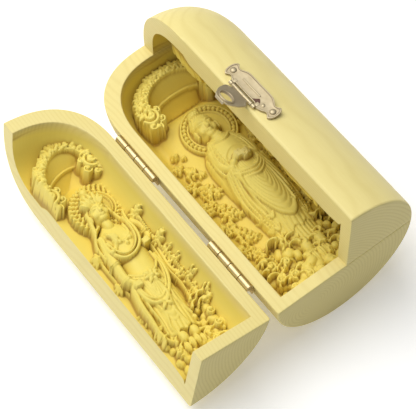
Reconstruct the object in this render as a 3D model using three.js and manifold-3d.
// Folding shrine box: a turned boxwood case with a domed top, sawn lengthwise into a back half and
// two doors, each hollowed and carved inside, and closed by a small hasp.
// Millimetres. The box lies on its back: +Y runs from its foot to the top of its dome, +Z is up,
// and +X is the side of the closed door. The origin is the middle of the flat strip it lies on.
// Inside this file every y is measured from the foot, and the last group moves all of it together.
import * as THREE from "three";
import { mergeVertices } from "three/addons/utils/BufferGeometryUtils.js";
import Module from "manifold-3d";

const wasm = await Module();
wasm.setup();

// ---------------------------------------------------------------- driving dimensions
const height = 120; // foot to top of the dome
const halfWidth = 30.3; // of the closed box, across its hinges
const depth = 32; // of the back half, and of each door
const domeLength = 27.8; // part of the height that the dome takes
const domePower = 2.5; // how blunt the dome is: 2 is a true ellipse
const footRound = 0.9; // softened edge round the foot
const restCut = 0.5; // planed off the back, for a flat strip to lie on
const restMiddle = 50; // the middle of that strip, from the foot
const matingGap = 0.3; // between the rims, and between the two doors, when they are shut

const sideWall = 5; // rim between the hollow and the side
const footWall = 5;
const domeWall = 5.9;
const backWall = 8.6; // wood left behind the hollow
const hollowPower = 2.6; // bluntness of the hollow's end, seen from the front
const hollowArch = 3.3; // and seen from the side
const hollowSquareness = 2.5; // of the hollow's cross-section: 2 is a true ellipse

const barrelRadius = 1.5;
const barrelClear = 0.07; // from the barrel to the wood
const knuckles = 4;
const knuckleGap = 0.16;
const pinRadius = 0.6;
const pinBore = 0.76;
const hingeLength = 22.8;
const hingeCentres = { upper: 80.7, lower: 25 };
const leafThickness = 0.6;
const leafReach = 5.2; // how far a leaf goes from the hinge's axis
const leafGap = 0.15; // from a leaf to the wood

const doorLift = THREE.MathUtils.degToRad(11); // the open door's free edge, above level
const hasp = { x: 6.3, y: 61.6, length: 28.4, width: 7.6, thickness: 0.7, nails: 24.2 };
const tongue = { reach: 11.2, width: 11.4, thickness: 0.6, lift: THREE.MathUtils.degToRad(33) };
const tongueBarrel = { x: 2.3, radius: 0.75, length: 10.6 };
const catchPost = { inset: 6, radius: 1.1, head: 1.35, base: 0.35, baseReach: 2.6 }; // inset from the edge
const catchWindow = { length: 4.2, width: 5.6 };

// ---------------------------------------------------------------- worked out from those
const rimZ = depth - restCut; // the plane of the rims, which holds both hinge axes
const hingeX = halfWidth + barrelRadius + barrelClear;
const hollow = {
  halfWidth: halfWidth - sideWall,
  depth: depth - backWall,
  top: height - domeWall,
  dome: domeLength - 0.5,
};
const buried = 3; // how far a carved form runs on into the wood behind it

// ---------------------------------------------------------------- materials
const boxwood = new THREE.MeshStandardMaterial({ color: 0xe8d98c, roughness: 0.5 });
const brass = new THREE.MeshStandardMaterial({ color: 0xcdb878, roughness: 0.3, metalness: 1 });
const paleGilt = new THREE.MeshStandardMaterial({ color: 0xd8c49a, roughness: 0.28, metalness: 1 });

// ---------------------------------------------------------------- solids
// A closed geometry as a solid for joining and cutting.
function solid(geometry) {
  const bare = new THREE.BufferGeometry();
  bare.setAttribute("position", geometry.getAttribute("position").clone());
  if (geometry.index) bare.setIndex(geometry.index.clone());
  const merged = mergeVertices(bare, 1e-4);
  return new wasm.Manifold(
    new wasm.Mesh({
      numProp: 3,
      vertProperties: new Float32Array(merged.attributes.position.array),
      triVerts: new Uint32Array(merged.index.array),
    }),
  );
}

function geometryOf(made) {
  const mesh = made.getMesh();
  const geometry = new THREE.BufferGeometry();
  geometry.setAttribute("position", new THREE.BufferAttribute(mesh.vertProperties, 3));
  geometry.setIndex(new THREE.BufferAttribute(mesh.triVerts, 1));
  geometry.computeVertexNormals();
  return geometry;
}

function named(name, made, material) {
  const mesh = new THREE.Mesh(geometryOf(made), material);
  mesh.name = name;
  return mesh;
}

function union(solids) {
  return solids.reduce((sum, next) => sum.add(next));
}

// A block between two corners.
function block(low, high) {
  const size = high.map((value, i) => value - low[i]);
  const middle = high.map((value, i) => (value + low[i]) / 2);
  return solid(new THREE.BoxGeometry(...size).translate(...middle));
}

function egg([x, y, z], [rx, ry, rz], around = 10, rings = 6) {
  return solid(new THREE.SphereGeometry(1, around, rings).scale(rx, ry, rz).translate(x, y, z));
}

// A rough rounded lump, for rocks and leaf clumps.
function lump([x, y, z], [rx, ry, rz], turn = 0) {
  const geometry = new THREE.IcosahedronGeometry(1, 0).rotateY(0.6).rotateZ(turn);
  return solid(geometry.scale(rx, ry, rz).translate(x, y, z));
}

// A round bar along Y.
function bar(x, y0, y1, z, radius, sides = 16) {
  const geometry = new THREE.CylinderGeometry(radius, radius, y1 - y0, sides);
  return solid(geometry.translate(x, (y0 + y1) / 2, z));
}

// An upright round post along Z.
function post(x, y, z0, z1, lowRadius, highRadius = lowRadius, sides = 16) {
  const geometry = new THREE.CylinderGeometry(highRadius, lowRadius, z1 - z0, sides);
  return solid(geometry.rotateX(Math.PI / 2).translate(x, y, (z0 + z1) / 2));
}

// A flat shape raised from z0 to z1.
function slab(points, z0, z1) {
  const shape = new THREE.Shape(points.map(([x, y]) => new THREE.Vector2(x, y)));
  const geometry = new THREE.ExtrudeGeometry(shape, { depth: z1 - z0, bevelEnabled: false });
  return solid(geometry.translate(0, 0, z0));
}

// A round cord through a list of points.
function cord(points, radius, steps = 12, sides = 5) {
  const section = new THREE.Shape(
    Array.from({ length: sides }, (_, i) => {
      const turn = (2 * Math.PI * i) / sides;
      return new THREE.Vector2(radius * Math.cos(turn), radius * Math.sin(turn));
    }),
  );
  const path = new THREE.CatmullRomCurve3(points.map((p) => new THREE.Vector3(...p)));
  return solid(new THREE.ExtrudeGeometry(section, { steps, extrudePath: path, bevelEnabled: false }));
}

// ---------------------------------------------------------------- the turned case
// A solid with a domed top, about the Y axis: a lathe form whose cross-section is widthways one size
// and depthways another.
function turned({ wide, deep, foot, top, dome, power, arch = power, square = 2, edge = 0, around = 32 }) {
  const steps = 6;
  const profile = [new THREE.Vector2(0, foot)];
  if (edge) profile.push(new THREE.Vector2(1 - edge / wide, foot));
  profile.push(new THREE.Vector2(1, foot + edge));
  for (let i = 0; i <= steps; i += 1) {
    const along = Math.sin((Math.PI / 2) * (i / steps));
    profile.push(new THREE.Vector2(i < steps ? 1 : 0, top - dome * (1 - along)));
  }
  const geometry = new THREE.LatheGeometry(profile, around);
  const place = geometry.getAttribute("position");
  for (let i = 0; i < place.count; i += 1) {
    const [x, y, z] = [place.getX(i), place.getY(i), place.getZ(i)];
    const t = Math.max(0, (y - top + dome) / dome);
    const turn = Math.atan2(z, x);
    const powers = Math.abs(Math.cos(turn)) ** square + Math.abs(Math.sin(turn)) ** square;
    const corner = powers ** (1 / square);
    const reach = Math.hypot(x, z) / corner;
    const wider = wide * (1 - Math.min(1, t) ** power) ** (1 / power);
    const deeper = deep * (1 - Math.min(1, t) ** arch) ** (1 / arch);
    place.setXYZ(i, reach * Math.cos(turn) * wider, y, reach * Math.sin(turn) * deeper);
  }
  return solid(geometry);
}

const caseForm = turned({
  wide: halfWidth,
  deep: depth,
  foot: 0,
  top: height,
  dome: domeLength,
  power: domePower,
  edge: footRound,
});
const hollowForm = turned({
  wide: hollow.halfWidth,
  deep: hollow.depth,
  foot: footWall,
  top: hollow.top,
  dome: hollow.dome,
  power: hollowPower,
  arch: hollowArch,
  square: hollowSquareness,
  around: 28,
});

// How deep the hollow is at x, below the rims.
function groundAt(x) {
  const across = Math.min(1, Math.abs(x) / hollow.halfWidth) ** hollowSquareness;
  return -hollow.depth * (1 - across) ** (1 / hollowSquareness);
}

// The half of a form below the rims, cut a little short of them.
const farOff = 200;
function belowRims(form, from = -farOff) {
  return form.intersect(block([from, -farOff, -farOff], [farOff, farOff, -matingGap / 2]));
}

// ---------------------------------------------------------------- carving
// Each carved scene is worked in the same way as the back half lies: x across, y up the box, and
// z below the rims, so it is negative. Every form runs on into the wood behind it.

// A curled cloud: a round boss with a raised ring and a bead in its middle.
function cloud([x, y, z], size) {
  const ring = new THREE.TorusGeometry(size * 0.68, size * 0.27, 3, 6).translate(x, y, z);
  const bead = egg([x, y, z], [1.3, 1.3, 1.1], 4, 2);
  return [solid(ring), post(x, y, z - 7, z, size * 0.9, size * 0.72, 6), bead];
}

// A canopy of leaves hanging over a figure, an arch of `span` from the centre to each curled end.
function canopy({ x, y, span, rise, thick, front, leaves }) {
  const forms = [];
  const outline = [];
  const count = 6;
  for (let i = 0; i <= count; i += 1) {
    const turn = Math.PI * (i / count);
    outline.push([x + span * Math.cos(turn), y + rise * Math.sin(turn)]);
  }
  for (let i = count; i >= 0; i -= 1) {
    const turn = Math.PI * (i / count);
    outline.push([x + (span - thick) * Math.cos(turn), y + (rise - thick) * Math.sin(turn)]);
  }
  forms.push(slab(outline, -hollow.depth - buried, front - 1.6));
  for (let i = 0; i < leaves; i += 1) {
    const turn = Math.PI * ((i + 0.5) / leaves);
    const leafX = x + (span - 0.8) * Math.cos(turn);
    const leafY = y + (rise - 0.8) * Math.sin(turn);
    forms.push(egg([leafX, leafY, front - 1.6], [2, 2.3, 1.8], 5, 3));
  }
  [-1, 1].forEach((side) => {
    forms.push(...cloud([x + side * (span - 2.2), y - 2.4, front - 1.8], 3.6));
  });
  return forms;
}

// The radius of a robed body at a share of its height, from the hem to the neck.
const robeProfile = new THREE.SplineCurve(
  [
    [1, 0],
    [0.9, 0.16],
    [0.9, 0.4],
    [1, 0.64],
    [0.98, 0.84],
    [0.62, 0.96],
    [0.36, 1],
  ].map(([r, t]) => new THREE.Vector2(r, t)),
);

// A robed body: a turned form whose rows hang in curves across the front, so that every other row
// stands out as a fold of cloth. `sag` is how far the folds hang at their middle.
function robedBody({ x, z, hem, shoulder, half, thick }, { rows, sag, fold }) {
  const tall = shoulder - hem;
  const side = Array.from({ length: rows + 1 }, (_, i) => {
    const p = robeProfile.getPoint(i / rows);
    return new THREE.Vector2(p.x, hem + tall * p.y);
  });
  const profile = [new THREE.Vector2(0, hem), ...side, new THREE.Vector2(0, shoulder)];
  const geometry = new THREE.LatheGeometry(profile, 12);
  const place = geometry.getAttribute("position");
  for (let i = 0; i < place.count; i += 1) {
    const row = (i % profile.length) - 1;
    const [px, py, pz] = [place.getX(i), place.getY(i), place.getZ(i)];
    const share = Math.max(0, Math.min(1, (py - hem) / tall));
    const front = pz > 0 ? 1 - Math.abs(px) ** 2.2 : 0;
    const hang = sag * front * Math.sin(Math.PI * share) ** 1.5;
    const out = row > 0 && row < rows - 2 ? 1 + fold * (row % 2 ? 1 : -1) : 1;
    const through = pz > 0 ? thick * out : hollow.depth + buried + z;
    place.setXYZ(i, px * half * out, py - hang, pz * through);
  }
  return solid(geometry.translate(x, 0, z));
}

function head({ x, y, z, size, ears }) {
  const forms = [
    egg([x, y, z], [size * 0.78, size, size * 0.9], 8, 5),
    egg([x, y + size * 0.35, z - size * 0.12], [size * 0.86, size * 0.86, size * 0.9], 8, 4),
    egg([x, y - size * 0.08, z + size * 0.88], [size * 0.13, size * 0.28, size * 0.16], 4, 2),
    post(x, y - size * 1.25, z - size, z + size * 0.25, size * 0.4, size * 0.4, 6),
  ];
  if (ears) {
    [-1, 1].forEach((side) => {
      const lobe = [size * 0.14, size * 0.4, size * 0.22];
      forms.push(egg([x + side * size * 0.8, y - size * 0.2, z], lobe, 4, 3));
    });
  }
  return forms;
}

// A halo: a plain disc with a raised edge of beads.
function halo({ x, y, z, radius, beads, beadHeight }) {
  const edge = [];
  for (let i = 0; i < beads; i += 1) {
    const turn = (2 * Math.PI * i) / beads;
    const half = Math.PI / beads;
    edge.push([x + radius * Math.cos(turn), y + radius * Math.sin(turn)]);
    const inner = radius * 0.95;
    edge.push([x + inner * Math.cos(turn + half), y + inner * Math.sin(turn + half)]);
  }
  const ring = slab(edge, z - 12, z + beadHeight);
  const dish = post(x, y, z, z + beadHeight + 1, radius * 0.78, radius * 0.78, beads);
  return [ring.subtract(dish)];
}

// Rocks, waves and clumps of leaves: rows of small rounded forms on the ground of the hollow.
function clump([x, y], rise, size, count) {
  return Array.from({ length: count }, (_, i) => {
    const turn = 2.4 * i;
    const out = size * 0.5 * Math.sqrt(i / count);
    const px = x + out * Math.cos(turn);
    const py = y + out * Math.sin(turn);
    const top = groundAt(px) + rise * (1 - 0.3 * (i / count));
    return lump([px, py, top - size], [size * 0.55, size * 0.55, size], turn);
  });
}

function rockRow(y, from, to, count, lift, size) {
  return Array.from({ length: count }, (_, i) => {
    const x = from + ((to - from) * i) / (count - 1);
    const sway = Math.sin(2.1 * i) * size * 0.3;
    const middle = [x, y + sway, groundAt(x) + lift - size];
    return lump(middle, [size * 1.05, size * 0.9, size * 1.6], 2 * i);
  });
}

// The teacher in the back half: standing, robed, hands joined before the chest, a beaded halo behind.
const teacher = {
  body: { x: 1.2, z: -13.2, hem: 20, shoulder: 76, half: 10.6, thick: 8.2 },
  folds: { rows: 11, sag: 11, fold: 0.07 },
  head: { x: 1, y: 82, z: -11, size: 6.4, ears: true },
  halo: { x: 1.5, y: 82, z: -14.5, radius: 10.2, beads: 14, beadHeight: 2 },
  canopy: { x: 0.5, y: 96.5, span: 16.4, rise: 14.6, thick: 4.6, front: -6.5, leaves: 5 },
};

function teacherScene() {
  const { body } = teacher;
  const forms = [
    robedBody(body, teacher.folds),
    ...head(teacher.head),
    egg([1, 88.6, -11.4], [2.9, 2.3, 3], 6, 3),
    ...halo(teacher.halo),
    egg([body.x - 2.2, 62.5, -5.6], [3.4, 2, 1.7], 6, 3),
    egg([body.x + 2.4, 60.6, -5.2], [3.2, 2, 1.8], 6, 3),
  ];
  [-1, 1].forEach((side) => {
    const elbow = body.x + side * 9.6;
    const arm = [[elbow, 70, -11], [elbow + side, 62, -9.6], [body.x + side * 5, 60.5, -6.4]];
    const sleeve = [[elbow, 61, -10.5], [elbow + side * 0.6, 50, -11], [elbow - side, 36, -11.5]];
    forms.push(cord(arm, 2.4, 3, 5));
    forms.push(cord(sleeve, 1.7, 3, 4));
    forms.push(egg([body.x + side * 3, 18.4, -9.8], [2.1, 2.8, 1.8], 6, 3));
  });
  for (let i = -1; i <= 1; i += 1) {
    forms.push(egg([body.x + i * 5.6, 13.6 - 0.6 * i * i, -14 - 0.9 * i * i], [3.5, 4, 6], 6, 3));
  }
  forms.push(...rockRow(9.4, -18, 18, 4, 9, 5.6));
  forms.push(...rockRow(5.6, -13, 13, 3, 7, 6));
  [-1, 1].forEach((side) => {
    forms.push(...clump([side * 16.6, 34], 7, 7, 1));
    forms.push(...clump([side * 17, 45], 6, 6, 1));
    forms.push(...clump([side * 16.8, 56], 6.5, 6.4, 1));
    forms.push(...clump([side * 17.4, 68], 5.5, 5.2, 1));
  });
  forms.push(...canopy(teacher.canopy));
  return forms;
}

// An attendant in each door: crowned, a scarf over the arms, a lotus stem in one hand.
// x = 0 is the door's free edge, and the hinge side is at +x.
const attendant = {
  body: { x: 11.6, z: -16.6, hem: 17, shoulder: 68.5, half: 7.2, thick: 6 },
  folds: { rows: 9, sag: 8, fold: 0.07 },
  head: { x: 11.4, y: 75, z: -14.6, size: 5.2, ears: false },
  halo: { x: 12.4, y: 77, z: -18.6, radius: 9.4, beads: 6, beadHeight: 1.6 },
  canopy: { x: 11.4, y: 93, span: 11.4, rise: 14, thick: 4, front: -9.5, leaves: 4 },
};

function attendantScene() {
  const { body } = attendant;
  const forms = [
    robedBody(body, attendant.folds),
    ...head(attendant.head),
    ...halo(attendant.halo),
    egg([11.4, 80.6, -13.6], [4.2, 2, 3.4], 6, 3),
    egg([11.4, 82.4, -14.4], [1.9, 2.6, 1.8], 5, 3),
  ];
  [-1, 1].forEach((side) => {
    const elbow = body.x + side * 7.2;
    const wrist = [body.x + side * 3.4, 51 + side * 3, -11.6];
    forms.push(cord([[elbow, 65, -15.6], [elbow + side, 55, -14.6], wrist], 1.6, 3, 4));
  });
  forms.push(cord([[3.4, 34, -17.6], [2.6, 46, -17], [3.8, 56, -17.4]], 0.8, 4, 4));
  forms.push(...clump([3.6, 57], 7.4, 5.4, 1));
  forms.push(...clump([3.2, 45], 7, 4, 1));
  forms.push(...rockRow(11, 3, 20, 3, 9, 5));
  forms.push(...rockRow(6.2, 7, 17, 2, 7, 5.4));
  [34, 56].forEach((y) => forms.push(...clump([20, y], 4.6, 6, 1)));
  forms.push(...canopy(attendant.canopy));
  return forms;
}

// The carving is kept inside the hollow's own outline, with its roots in the wood, and below the rims.
const roots = turned({
  wide: hollow.halfWidth + 2,
  deep: hollow.depth + buried,
  foot: footWall - 2,
  top: hollow.top + 2,
  dome: hollow.dome,
  power: hollowPower,
  arch: hollowArch,
  square: hollowSquareness,
  around: 24,
});

// ---------------------------------------------------------------- the three wooden pieces
function carvedWood(shell, forms, bounds) {
  const carving = union(forms).intersect(roots).intersect(bounds);
  return shell.add(carving);
}

function backHalf() {
  const plane = block([-farOff, -farOff, -rimZ], [farOff, farOff, -matingGap / 2]);
  const shell = caseForm.intersect(plane).subtract(hollowForm);
  const inside = block([-farOff, -farOff, -farOff], [farOff, farOff, -2.5]);
  return carvedWood(shell, teacherScene(), inside);
}

// A door, lying open with its hollow up: x runs from its free edge, at 0, to the hinge side.
function door() {
  const quarter = belowRims(caseForm, matingGap / 2);
  const shell = quarter.subtract(hollowForm);
  const inside = block([matingGap / 2, -farOff, -farOff], [farOff, farOff, -4]);
  return carvedWood(shell, attendantScene(), inside);
}

// ---------------------------------------------------------------- hinges
// In a hinge's own frame the axis is x = z = 0, its leaf hangs down at -x, and the wood is beyond it.
function hingeLeaf(centre, first) {
  const pitch = hingeLength / knuckles;
  const start = centre - hingeLength / 2;
  const outer = -(barrelRadius + barrelClear) + leafGap;
  const plateTop = -barrelRadius - 0.25;
  const parts = [
    block([outer, start, -leafReach], [outer + leafThickness, start + hingeLength, plateTop]),
  ];
  for (let i = first; i < knuckles; i += 2) {
    const y0 = start + i * pitch + knuckleGap / 2;
    const y1 = start + (i + 1) * pitch - knuckleGap / 2;
    parts.push(bar(0, y0, y1, 0, barrelRadius, 8));
    parts.push(block([outer, y0, plateTop - 0.2], [outer + leafThickness, y1, -0.1]));
  }
  return union(parts).subtract(bar(0, start - 1, start + hingeLength + 1, 0, pinBore, 5));
}

function hingePin(centre) {
  return bar(0, centre - hingeLength / 2 + 0.1, centre + hingeLength / 2 - 0.1, 0, pinRadius, 8);
}

// ---------------------------------------------------------------- hasp
// The outside of a shut door at x from its free edge: how high it stands above the rims.
function outsideAt(x) {
  return depth * Math.sqrt(1 - (x / halfWidth) ** 2);
}

// Half of the hasp plate's outline: two eared ends about a wide middle.
function haspOutline(long, wide) {
  const ear = wide * 0.36;
  const along = [1, 0.9, 0.76, 0.62, 0.46];
  const across = [ear * 0.55, ear * 1.15, ear * 0.75, wide * 0.4, wide * 0.5];
  const quarter = along.map((share, i) => [across[i], (share * long) / 2]);
  const right = [...quarter, ...quarter.map(([x, y]) => [x, -y]).reverse()];
  return [...right, ...right.map(([x, y]) => [-x, y]).reverse()].reverse();
}

// In the shut door's own frame: x from the middle of the box, z up from the rims.
const haspZ = outsideAt(hasp.x - hasp.width / 2) + 0.12;

function haspPlate() {
  const outline = haspOutline(hasp.length, hasp.width).map(([x, y]) => [hasp.x + x, hasp.y + y]);
  const plate = slab(outline, haspZ, haspZ + hasp.thickness);
  const parts = [plate];
  [-1, 1].forEach((end) => {
    parts.push(post(hasp.x, hasp.y + (end * hasp.nails) / 2, haspZ + 0.3, haspZ + 1.15, 1.15, 0.6, 8));
    const y0 = hasp.y + end * (tongueBarrel.length / 2 + 0.95);
    parts.push(bar(tongueBarrel.x, y0 - 0.75, y0 + 0.75, haspZ + 0.78, tongueBarrel.radius, 8));
  });
  const arm = block(
    [tongueBarrel.x, hasp.y - tongueBarrel.length / 2 - 1.7, haspZ],
    [hasp.x, hasp.y + tongueBarrel.length / 2 + 1.7, haspZ + hasp.thickness],
  );
  const room = block(
    [tongueBarrel.x - 2, hasp.y - tongueBarrel.length / 2 - 0.2, haspZ - 1],
    [tongueBarrel.x + 1.2, hasp.y + tongueBarrel.length / 2 + 0.2, haspZ + 3],
  );
  const pinHole = bar(tongueBarrel.x, hasp.y - 8, hasp.y + 8, haspZ + 0.78, 0.36, 5);
  return union([...parts, arm]).subtract(room).subtract(pinHole);
}

// The tongue, flat, in the frame of its own barrel: it reaches to -x.
function haspTongue() {
  const { reach, width, thickness } = tongue;
  const outline = [
    [0, -0.42],
    [-0.16, -0.36],
    [-0.3, -0.5],
    [-0.62, -0.46],
    [-0.86, -0.34],
    [-1, -0.2],
    [-1, 0.2],
    [-0.86, 0.34],
    [-0.62, 0.46],
    [-0.3, 0.5],
    [-0.16, 0.36],
    [0, 0.42],
  ].map(([x, y]) => [x * reach, y * width]);
  const plate = slab(outline.reverse(), -thickness / 2, thickness / 2);
  const barrel = bar(0, -tongueBarrel.length / 2, tongueBarrel.length / 2, 0, tongueBarrel.radius, 8);
  const lip = block([-reach - 0.5, -width * 0.19, -0.9], [-reach + 0.1, width * 0.19, thickness / 2]);
  const postAt = -(tongueBarrel.x + catchPost.inset);
  const boss = slab(oval(postAt, 0, catchWindow.length / 2 + 0.8, catchWindow.width / 2 + 0.8, 14), 0, 0.75);
  const window = slab(oval(postAt, 0, catchWindow.length / 2, catchWindow.width / 2, 14), -2, 2);
  const pinHole = bar(0, -8, 8, 0, 0.36, 5);
  return union([plate, barrel, lip, boss]).subtract(window).subtract(pinHole);
}

function oval(x, y, rx, ry, sides) {
  return Array.from({ length: sides }, (_, i) => {
    const turn = (2 * Math.PI * i) / sides;
    return [x + rx * Math.cos(turn), y + ry * Math.sin(turn)];
  });
}

// The catch on the other door, in that door's shut frame mirrored: a lobed base and a post whose head
// also holds the open door's edge off the table.
const catchTop = (() => {
  const armX = hingeX - catchPost.inset; // from the hinge's axis, with the door open
  return (rimZ + armX * Math.sin(doorLift)) / Math.cos(doorLift) - 0.04;
})();

function catchPlate() {
  const { inset, radius, head: button, base, baseReach } = catchPost;
  const baseZ = outsideAt(inset - baseReach) + 0.12;
  return union([
    slab(oval(inset, hasp.y, baseReach, 5, 10), baseZ, baseZ + base),
    post(inset, hasp.y, baseZ + 0.1, catchTop - 0.8, radius, radius, 8),
    post(inset, hasp.y, catchTop - 0.9, catchTop, button, button * 0.8, 8),
  ]);
}

// ---------------------------------------------------------------- assembly
const shrineBox = new THREE.Group();
const pieces = new THREE.Group();
pieces.position.y = -restMiddle;
shrineBox.add(pieces);

const back = new THREE.Group();
back.position.z = rimZ;
back.add(named("back_half", backHalf(), boxwood));
pieces.add(back);

function doorGroup(side) {
  const group = new THREE.Group();
  group.position.set(side * hingeX, 0, rimZ);
  group.scale.x = side;
  return group;
}

const leftDoor = doorGroup(-1);
leftDoor.rotation.y = doorLift;
const rightDoor = doorGroup(1);
rightDoor.rotation.y = Math.PI;
pieces.add(leftDoor, rightDoor);

// The open door's x runs away from the hinge, so the form is turned end for end across x.
function openDoor(name) {
  const mesh = named(name, door(), boxwood);
  mesh.scale.x = -1;
  mesh.position.x = hingeX;
  return mesh;
}
leftDoor.add(openDoor("left_door"));
rightDoor.add(openDoor("right_door"));

for (const [sideName, side, group] of [
  ["left", -1, leftDoor],
  ["right", 1, rightDoor],
]) {
  for (const [level, centre] of Object.entries(hingeCentres)) {
    const fixed = named(`${sideName}_${level}_hinge_back_leaf`, hingeLeaf(centre, 0), brass);
    fixed.position.set(side * hingeX, 0, rimZ);
    fixed.scale.x = side;
    pieces.add(fixed);
    const pin = named(`${sideName}_${level}_hinge_pin`, hingePin(centre), brass);
    pin.position.set(side * hingeX, 0, rimZ);
    pieces.add(pin);
    const moving = named(`${sideName}_${level}_hinge_door_leaf`, hingeLeaf(centre, 1), brass);
    moving.scale.x = -1;
    group.add(moving);
  }
}

// The hasp sits on the shut door, whose frame here is the box's own.
const shut = new THREE.Group();
shut.position.z = rimZ;
shut.add(named("hasp_plate", haspPlate(), paleGilt));
const swing = new THREE.Group();
swing.position.set(tongueBarrel.x, hasp.y, haspZ + 0.78);
swing.rotation.y = tongue.lift;
swing.add(named("hasp_tongue", haspTongue(), paleGilt));
shut.add(swing);
const pinEnd = tongueBarrel.length / 2 + 1.6;
const tonguePin = named("hasp_pin", bar(0, -pinEnd, pinEnd, 0, 0.27, 8), brass);
tonguePin.position.copy(swing.position);
shut.add(tonguePin);
pieces.add(shut);

// The catch is on the underside of the open door.
const catchPiece = named("catch_plate", catchPlate(), paleGilt);
catchPiece.rotation.y = Math.PI;
catchPiece.position.x = hingeX;
leftDoor.add(catchPiece);

export default shrineBox;
